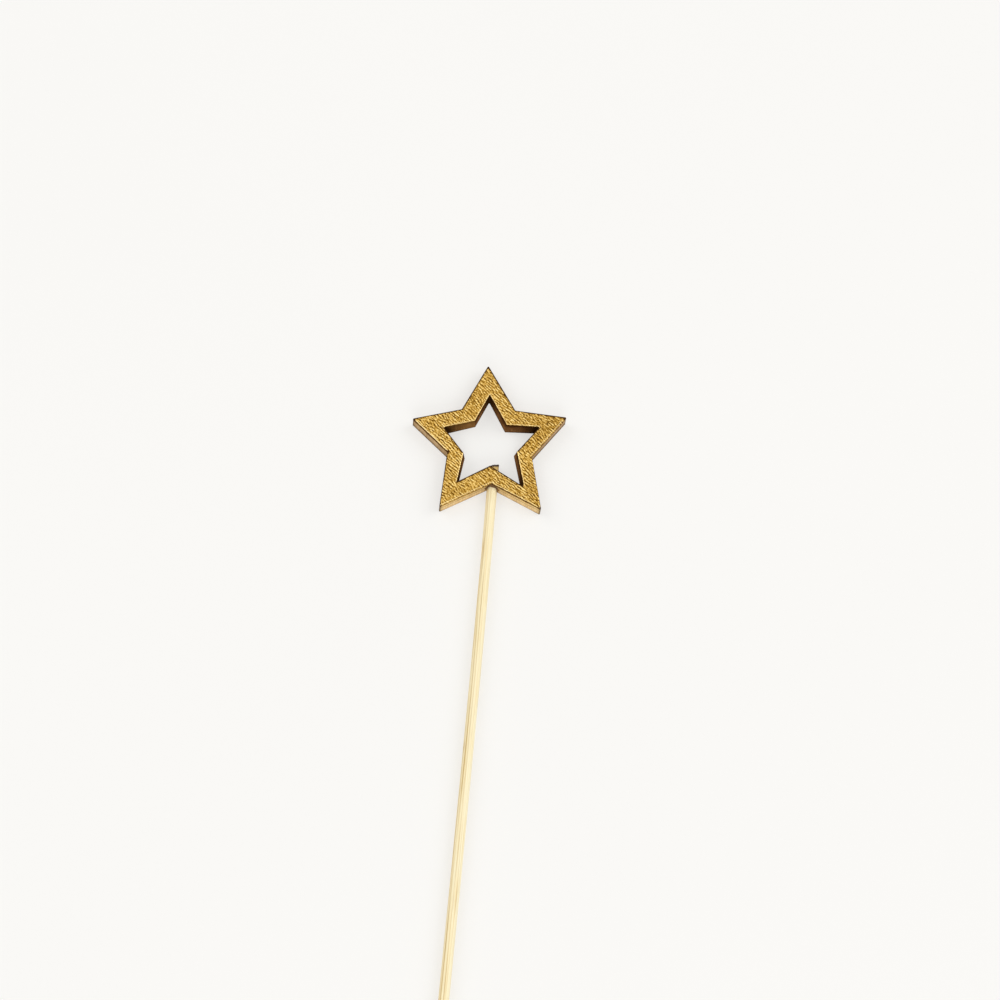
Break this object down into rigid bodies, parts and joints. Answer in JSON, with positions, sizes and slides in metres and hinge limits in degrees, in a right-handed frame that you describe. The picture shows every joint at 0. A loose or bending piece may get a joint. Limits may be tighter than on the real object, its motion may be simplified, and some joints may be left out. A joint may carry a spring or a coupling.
{
  "type": "cocktail pick",
  "caption": "Open star head cut from thin wood and painted metallic gold, glued on a thin sharpened bamboo stick, for spearing small snacks and garnishing drinks.",
  "frame": {"origin": "on the star's back face, below the stick's axis, midway through the drilled wall at the star's lower notch", "axes": "+Y along the stick from its point towards the star, +Z out of the star's painted front, so the pick lies flat on z = 0"},
  "size_m": [0.0297, 0.1397, 0.003],
  "materials": {
    "gold_painted_wood": "metallic gold paint over fine wood grain, cut edges browned",
    "bamboo": "sanded bare bamboo with long fine fibres",
    "amber_glue": "cured amber glue, glossy"
  },
  "bodies": {
    "root": {"star_frame": "gold_painted_wood", "stick": "bamboo", "glue": "amber_glue"}
  },
  "joints": []
}
